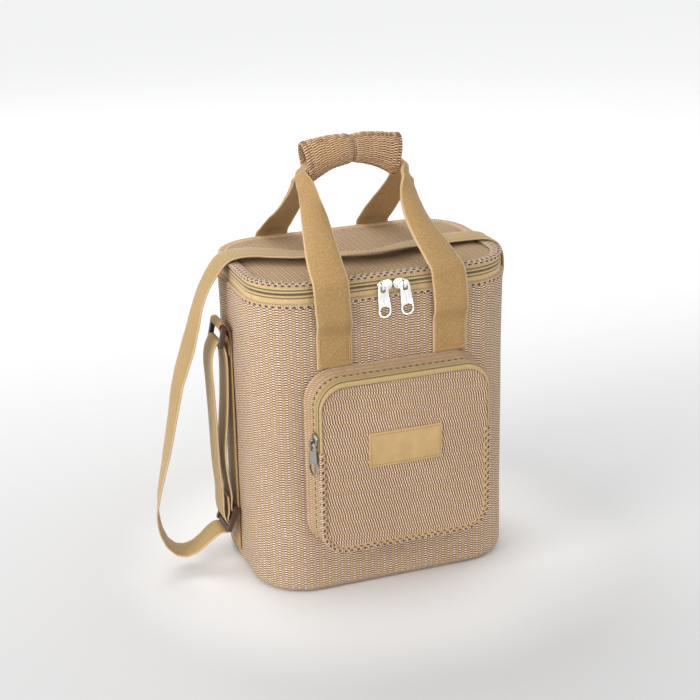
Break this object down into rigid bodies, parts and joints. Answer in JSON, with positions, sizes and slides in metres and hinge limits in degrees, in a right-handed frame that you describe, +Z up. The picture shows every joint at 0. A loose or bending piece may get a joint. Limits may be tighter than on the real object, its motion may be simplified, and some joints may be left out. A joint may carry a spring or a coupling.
{
  "type": "insulated cooler bag",
  "caption": "Woven insulated cooler bag with a zipped lid, a gusseted front pocket, two carry handles joined by a padded grip, and a shoulder strap.",
  "frame": {"origin": "centre of the bag body's footprint, on the floor plane under the base panel", "axes": "+Z up; -Y out of the front wall, which carries the pocket; +X to the right seen from the front"},
  "size_m": [0.363, 0.2182, 0.4241],
  "materials": {
    "woven": "coarse basket weave of pinkish tan and beige yarns, matt",
    "handle_webbing": "ribbed khaki webbing, matt",
    "shoulder_webbing": "light khaki webbing with a soft sheen",
    "zip_tape": "fine ribbed tape, matt",
    "zip_coil": "coiled filament with a slight sheen",
    "foam": "closed-cell foam, matt",
    "foil": "soft foil film, slightly crinkled",
    "pocket_lining": "plain lining cloth",
    "patch": "smooth tan patch with a stitched edge",
    "nickel": "polished nickel",
    "dark_plastic": "moulded dark brown, satin"
  },
  "bodies": {
    "bag": {"base_panel": "woven", "body_shell": "woven", "rim_hem": "woven", "base_foam": "foam", "wall_foam": "foam", "body_liner": "foil", "zip_tape_lower": "zip_tape", "zip_coil_lower": "zip_coil", "hinge_strip_lower": "woven", "front_anchor_left": "handle_webbing", "front_anchor_right": "handle_webbing", "back_anchor_left": "handle_webbing", "back_anchor_right": "handle_webbing", "side_webbing_left": "handle_webbing", "side_webbing_right": "handle_webbing", "pocket_lining": "pocket_lining", "pocket_gusset": "woven", "pocket_band_lower": "woven", "pocket_zip_tape_outer": "zip_tape", "pocket_zip_coil_outer": "zip_coil", "pocket_front_lower": "woven", "strap_loop_left": "shoulder_webbing", "strap_fall_right": "shoulder_webbing"},
    "lid": {"lid_panel": "woven", "lid_hem": "woven", "lid_foam": "foam", "lid_liner": "foil", "zip_tape_upper": "zip_tape", "zip_coil_upper": "zip_coil", "hinge_strip_upper": "woven", "strap_over_lid": "shoulder_webbing"},
    "front_handle": {"front_handle_strap": "handle_webbing"},
    "back_handle": {"back_handle_strap": "handle_webbing", "grip_wrap": "woven"},
    "slider_left": {"slider_left": "nickel"},
    "pull_left": {"pull_left": "nickel"},
    "slider_right": {"slider_right": "nickel"},
    "pull_right": {"pull_right": "nickel"},
    "pocket_slider": {"pocket_slider": "nickel"},
    "pocket_pull": {"pocket_pull": "nickel"},
    "pocket_flap": {"pocket_front_flap": "woven", "pocket_zip_tape_inner": "zip_tape", "pocket_zip_coil_inner": "zip_coil", "label_patch": "patch"},
    "ring_left": {"ring_left": "dark_plastic", "adjuster_left": "dark_plastic", "strap_doubled_left": "shoulder_webbing"},
    "ring_right": {"ring_right": "dark_plastic", "strap_end_right": "shoulder_webbing"}
  },
  "joints": [
    {"name": "lid_hinge", "type": "hinge", "parent": "bag", "child": "lid", "pos_m": [0, 0.0859, 0.3012], "axis": [-1, 0, 0], "range_deg": [0, 88]},
    {"name": "front_handle_swing", "type": "hinge", "parent": "bag", "child": "front_handle", "pos_m": [-0.0015, -0.09, 0.26015], "axis": [1, 0, 0], "range_deg": [0, 123.2]},
    {"name": "back_handle_swing", "type": "hinge", "parent": "bag", "child": "back_handle", "pos_m": [-0.005, 0.09, 0.26015], "axis": [-1, 0, 0], "range_deg": [0, 123.2], "deforming": ["grip_wrap"]},
    {"name": "slider_left_slide", "type": "slide", "parent": "bag", "child": "slider_left", "axis": [-1, 0, 0], "range_m": [0, 0.066]},
    {"name": "pull_left_hinge", "type": "hinge", "parent": "slider_left", "child": "pull_left", "pos_m": [-0.0113, -0.09, 0.3012], "axis": [-1, 0, 0], "range_deg": [0, 170]},
    {"name": "slider_right_slide", "type": "slide", "parent": "bag", "child": "slider_right", "axis": [1, 0, 0], "range_m": [0, 0.066]},
    {"name": "pull_right_hinge", "type": "hinge", "parent": "slider_right", "child": "pull_right", "pos_m": [0.0103, -0.09, 0.3012], "axis": [-1, 0, 0], "range_deg": [0, 170]},
    {"name": "pocket_slider_slide", "type": "slide", "parent": "bag", "child": "pocket_slider", "axis": [0, 0, 1], "range_m": [0, 0.03]},
    {"name": "pocket_pull_hinge", "type": "hinge", "parent": "pocket_slider", "child": "pocket_pull", "pos_m": [-0.0915, -0.11415, 0.168], "axis": [0, 1, 0], "range_deg": [0, 170]},
    {"name": "pocket_flap_hinge", "type": "hinge", "parent": "bag", "child": "pocket_flap", "pos_m": [-0.0015, -0.1214, 0.136], "axis": [1, 0, 0], "range_deg": [0, 35]},
    {"name": "ring_left_swing", "type": "hinge", "parent": "bag", "child": "ring_left", "pos_m": [-0.1387, 0.016, 0.25], "axis": [0, 1, 0], "range_deg": [0, 20], "deforming": ["strap_loop_left"]},
    {"name": "ring_right_swing", "type": "hinge", "parent": "bag", "child": "ring_right", "pos_m": [0.1387, 0.016, 0.25], "axis": [0, -1, 0], "range_deg": [0, 20], "deforming": ["strap_fall_right"]}
  ],
  "couplings": [
    {"joint": "front_handle_swing", "follows": "lid_hinge", "ratio": 1.4},
    {"joint": "back_handle_swing", "follows": "lid_hinge", "ratio": 1.4}
  ]
}
